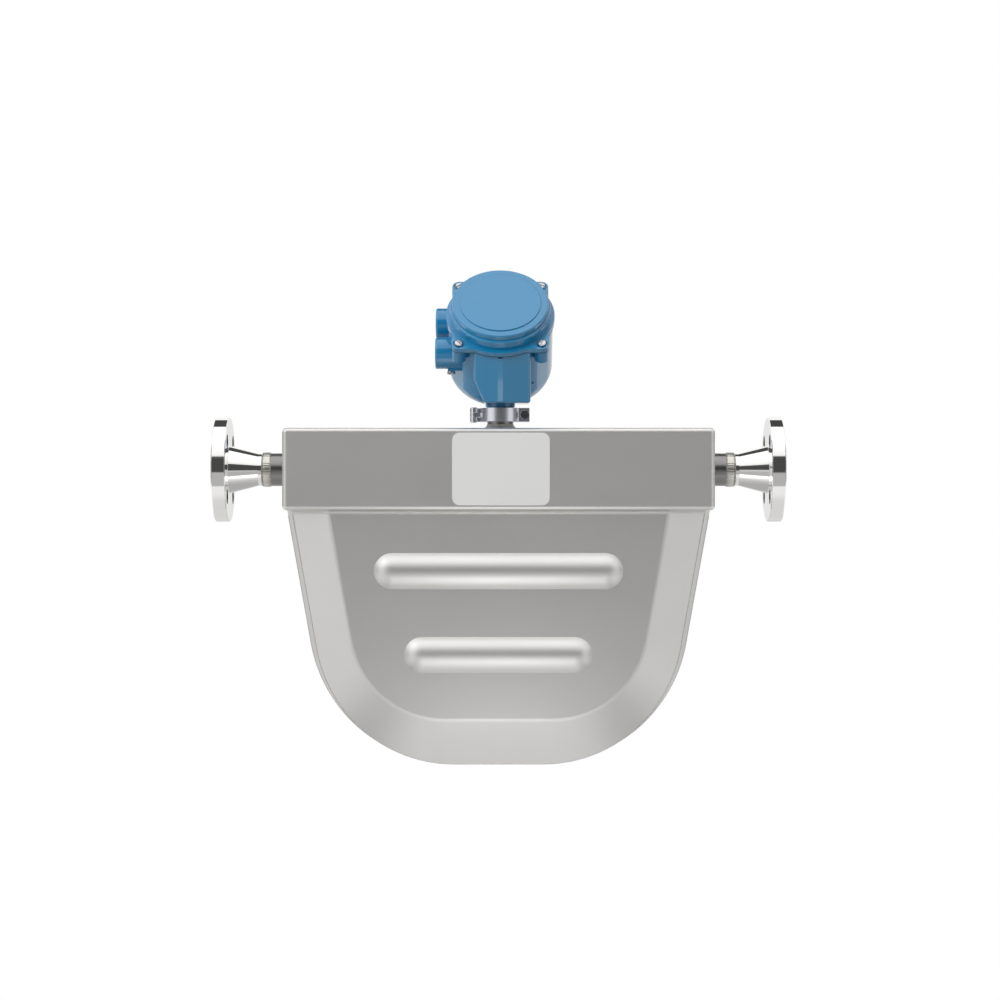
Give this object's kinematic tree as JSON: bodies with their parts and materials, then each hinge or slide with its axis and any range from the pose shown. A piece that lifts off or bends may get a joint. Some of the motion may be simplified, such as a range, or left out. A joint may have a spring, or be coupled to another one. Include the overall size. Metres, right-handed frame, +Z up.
{
  "type": "coriolis flow meter",
  "caption": "Coriolis mass flow meter: steel sensor case with hidden flow tubes between weld-neck flanges, and a blue cast head that swivels on a clamped neck.",
  "frame": {"origin": "centre of the inlet flange's raised face", "axes": "+X along the flow to the outlet flange, +Y to the back of the meter, +Z up towards the head"},
  "size_m": [0.588, 0.1406, 0.5101],
  "materials": {
    "polished_steel": "turned and polished stainless steel",
    "weld_steel": "satin stainless steel with a crowned weld",
    "case_steel": "pressed stainless sheet, satin",
    "plate_steel": "bare light plate, satin",
    "inner_steel": "plain stainless steel",
    "clamp_steel": "cast stainless steel, satin",
    "dark_screw": "dark socket screw",
    "screw_steel": "bright plated screw",
    "blue_paint": "smooth blue enamel on cast aluminium",
    "seal_rubber": "black seal",
    "module_resin": "potted electronics",
    "coil_resin": "wound and potted coil"
  },
  "bodies": {
    "sensor": {"inlet_flange": "polished_steel", "outlet_flange": "polished_steel", "inlet_manifold": "weld_steel", "outlet_manifold": "weld_steel", "upper_case": "case_steel", "front_case_half": "case_steel", "rear_case_half": "case_steel", "nameplate": "plate_steel", "inlet_upper_brace": "inner_steel", "inlet_lower_brace": "inner_steel", "outlet_upper_brace": "inner_steel", "outlet_lower_brace": "inner_steel", "temperature_probe": "inner_steel", "neck_tube": "weld_steel", "feedthrough": "inner_steel", "neck_seal": "seal_rubber", "clamp_front_half": "clamp_steel", "clamp_rear_half": "clamp_steel", "clamp_screw": "dark_screw", "clamp_hinge_pin": "clamp_steel"},
    "head": {"head_housing": "blue_paint", "core_module": "module_resin", "lid_gasket": "seal_rubber", "head_lid": "blue_paint", "lid_screws": "screw_steel", "ground_screw": "screw_steel"},
    "front_tube": {"front_flow_tube": "inner_steel", "drive_coil": "coil_resin", "inlet_pickoff_coil": "coil_resin", "outlet_pickoff_coil": "coil_resin"},
    "rear_tube": {"rear_flow_tube": "inner_steel", "drive_magnet": "inner_steel", "inlet_pickoff_magnet": "inner_steel", "outlet_pickoff_magnet": "inner_steel"}
  },
  "joints": [
    {"name": "head_swivel", "type": "hinge", "parent": "sensor", "child": "head", "pos_m": [0.2958, 0, 0.0579], "axis": [0, 0, 1], "range_deg": [-180, 180]},
    {"name": "front_tube_swing", "type": "hinge", "parent": "sensor", "child": "front_tube", "pos_m": [0.294, -0.02, -0.064], "axis": [1, 0, 0], "range_deg": [-0.1, 0.1], "stiffness_Nm_per_rad": 50},
    {"name": "rear_tube_swing", "type": "hinge", "parent": "sensor", "child": "rear_tube", "pos_m": [0.294, 0.02, -0.064], "axis": [1, 0, 0], "range_deg": [-0.1, 0.1], "stiffness_Nm_per_rad": 50}
  ],
  "couplings": [
    {"joint": "rear_tube_swing", "follows": "front_tube_swing", "ratio": -1}
  ]
}
